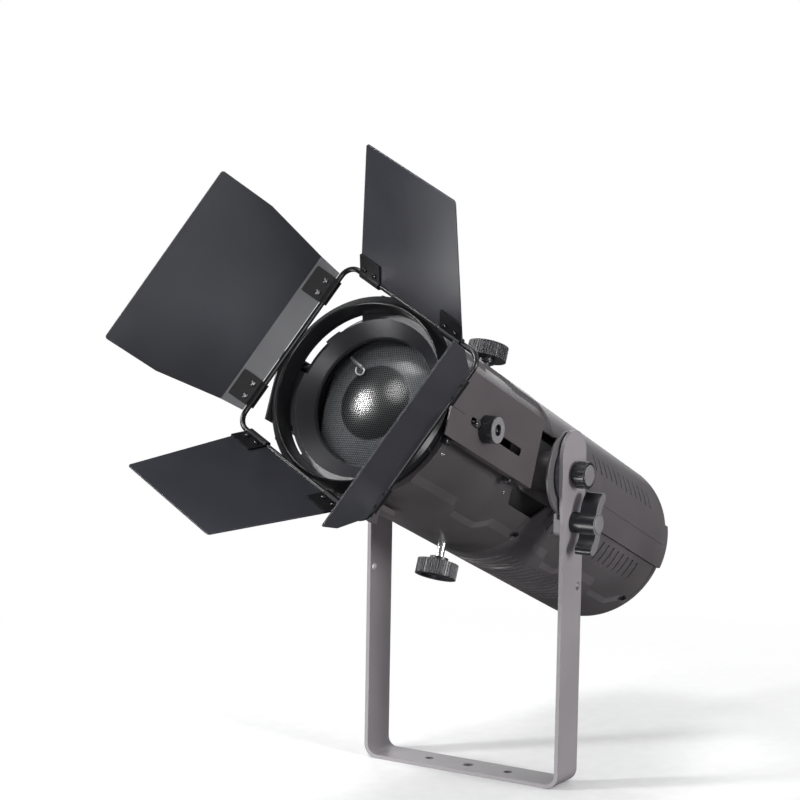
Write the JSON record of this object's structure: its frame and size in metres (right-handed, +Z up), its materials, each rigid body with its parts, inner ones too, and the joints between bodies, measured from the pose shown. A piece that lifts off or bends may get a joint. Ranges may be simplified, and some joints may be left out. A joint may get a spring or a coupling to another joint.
{
  "type": "stage profile spotlight",
  "caption": "Tubular focusing stage spotlight tilted in a U-shaped yoke, with a rotating four-leaf barn door on its nose.",
  "frame": {"origin": "centre of the clamp hole, on the underside of the yoke's base", "axes": "+Z up from the yoke's base to the tilt axis, +X across the yoke along the tilt axis towards the leg with the brake knob, -Y the way the lamp points before it is tilted up"},
  "size_m": [0.3651, 0.6922, 0.6095],
  "materials": {
    "yoke_paint": "mid-grey fine textured powder coat",
    "body_paint": "die-cast shells in satin dark grey powder coat",
    "plate_paint": "satin dark grey powder coat on sheet steel",
    "door_paint": "matte blue-black powder coat on sheet steel",
    "ring_paint": "satin black enamel",
    "black_plastic": "moulded black plastic, fine spark texture",
    "grey_plastic": "moulded grey plastic",
    "steel": "zinc-plated steel",
    "aluminium": "bare extruded aluminium",
    "lens_glass": "clear moulded glass with a dimpled face",
    "board": "coated circuit board with a dark display",
    "led": "phosphor-coated light source on a white board",
    "fibre": "black friction washer"
  },
  "bodies": {
    "yoke": {"yoke_strap": "yoke_paint", "friction_washers": "fibre", "brake_jaw": "yoke_paint"},
    "brake_knob": {"brake_knob": "black_plastic", "brake_cap": "grey_plastic"},
    "tilt_knob_near": {"tilt_knob_near": "black_plastic", "tilt_cap_near": "grey_plastic"},
    "tilt_knob_far": {"tilt_knob_far": "black_plastic"},
    "fan_rotor": {"fan_rotor": "black_plastic"},
    "button_menu": {"button_menu": "black_plastic"},
    "button_down": {"button_down": "black_plastic"},
    "button_up": {"button_up": "black_plastic"},
    "button_enter": {"button_enter": "black_plastic"},
    "focus_carriage": {"lens_carriage": "aluminium", "front_lens": "lens_glass", "focus_stem": "steel"},
    "focus_knob": {"focus_knob": "black_plastic"},
    "top_knob": {"top_knob": "black_plastic"},
    "bottom_knob": {"bottom_knob": "black_plastic", "bottom_stem": "steel"},
    "barn_door": {"barn_ring": "ring_paint", "barn_frame": "ring_paint"},
    "leaf_left": {"leaf_left": "door_paint", "hinges_left": "ring_paint", "screws_left": "steel"},
    "leaf_top": {"leaf_top": "door_paint", "hinges_top": "ring_paint", "screws_top": "steel"},
    "leaf_bottom": {"leaf_bottom": "door_paint", "hinges_bottom": "ring_paint", "screws_bottom": "steel"},
    "leaf_right": {"leaf_right": "door_paint", "hinges_right": "ring_paint", "screws_right": "steel"},
    "head": {"condenser_holder": "aluminium", "condenser_lens": "lens_glass", "display_board": "board", "driver_box": "aluminium", "fan_frame": "black_plastic", "front_bezel": "ring_paint", "front_brackets": "plate_paint", "gate_housing": "aluminium", "gate_plate": "ring_paint", "guide_rods": "steel", "heat_sink": "aluminium", "housing_screws": "steel", "led_module": "led", "lens_tube_lower": "body_paint", "lens_tube_upper": "body_paint", "pivot_brackets": "body_paint", "pivot_discs": "yoke_paint", "pivot_studs": "steel", "plate_standoffs": "steel", "power_inlet": "black_plastic", "rear_cap": "body_paint", "rear_shell_lower": "body_paint", "rear_shell_upper": "body_paint", "side_plate_far": "plate_paint", "side_plate_near": "plate_paint", "signal_sockets": "black_plastic"}
  },
  "joints": [
    {"name": "tilt", "type": "hinge", "parent": "yoke", "child": "head", "pos_m": [0, 0, 0.304], "axis": [-1, 0, 0], "range_deg": [-47.2, 66.8]},
    {"name": "brake_turn", "type": "hinge", "parent": "yoke", "child": "brake_knob", "pos_m": [0, 0, 0.258], "axis": [1, 0, 0], "range_deg": [0, 360]},
    {"name": "tilt_knob_near_turn", "type": "hinge", "parent": "head", "child": "tilt_knob_near", "pos_m": [0, 0, 0.304], "axis": [1, 0, 0], "range_deg": [0, 360]},
    {"name": "tilt_knob_far_turn", "type": "hinge", "parent": "head", "child": "tilt_knob_far", "pos_m": [0, 0, 0.304], "axis": [-1, 0, 0], "range_deg": [0, 360]},
    {"name": "fan_spin", "type": "hinge", "parent": "head", "child": "fan_rotor", "pos_m": [0, 0.23646, 0.17942], "axis": [0, -0.9259, 0.3778], "continuous": true},
    {"name": "button_menu_press", "type": "slide", "parent": "head", "child": "button_menu", "axis": [0, -0.9259, 0.3778], "range_m": [0, 0.001], "stiffness_N_per_m": 400},
    {"name": "button_down_press", "type": "slide", "parent": "head", "child": "button_down", "axis": [0, -0.9259, 0.3778], "range_m": [0, 0.001], "stiffness_N_per_m": 400},
    {"name": "button_up_press", "type": "slide", "parent": "head", "child": "button_up", "axis": [0, -0.9259, 0.3778], "range_m": [0, 0.001], "stiffness_N_per_m": 400},
    {"name": "button_enter_press", "type": "slide", "parent": "head", "child": "button_enter", "axis": [0, -0.9259, 0.3778], "range_m": [0, 0.001], "stiffness_N_per_m": 400},
    {"name": "focus_slide", "type": "slide", "parent": "head", "child": "focus_carriage", "axis": [0, -0.9259, 0.3778], "range_m": [-0.068, 0.006]},
    {"name": "focus_knob_turn", "type": "hinge", "parent": "focus_carriage", "child": "focus_knob", "pos_m": [0.0966, -0.15041, 0.3589], "axis": [1, 0, 0], "range_deg": [0, 360]},
    {"name": "top_knob_turn", "type": "hinge", "parent": "head", "child": "top_knob", "pos_m": [0, 0.01836, 0.40721], "axis": [0, 0.3778, 0.9259], "range_deg": [0, 360]},
    {"name": "bottom_knob_turn", "type": "hinge", "parent": "head", "child": "bottom_knob", "pos_m": [0, -0.06579, 0.2169], "axis": [0, -0.3778, -0.9259], "range_deg": [0, 360]},
    {"name": "barn_door_turn", "type": "hinge", "parent": "head", "child": "barn_door", "pos_m": [0, -0.20739, 0.38864], "axis": [0, -0.9259, 0.3778], "continuous": true},
    {"name": "leaf_left_swing", "type": "hinge", "parent": "barn_door", "child": "leaf_left", "pos_m": [-0.07889, -0.19967, 0.42927], "axis": [-0.4571, -0.3361, -0.8235], "range_deg": [-45.4, 53.6]},
    {"name": "leaf_top_swing", "type": "hinge", "parent": "barn_door", "child": "leaf_top", "pos_m": [0.04054, -0.18518, 0.46478], "axis": [-0.8894, 0.1727, 0.4232], "range_deg": [-73.3, 44.7]},
    {"name": "leaf_bottom_swing", "type": "hinge", "parent": "barn_door", "child": "leaf_bottom", "pos_m": [-0.04054, -0.2448, 0.31869], "axis": [0.8894, -0.1727, -0.4232], "range_deg": [-64.7, 53.3]},
    {"name": "leaf_right_swing", "type": "hinge", "parent": "barn_door", "child": "leaf_right", "pos_m": [0.07889, -0.23031, 0.3542], "axis": [0.4571, 0.3361, 0.8235], "range_deg": [-35.5, 60.5]}
  ]
}
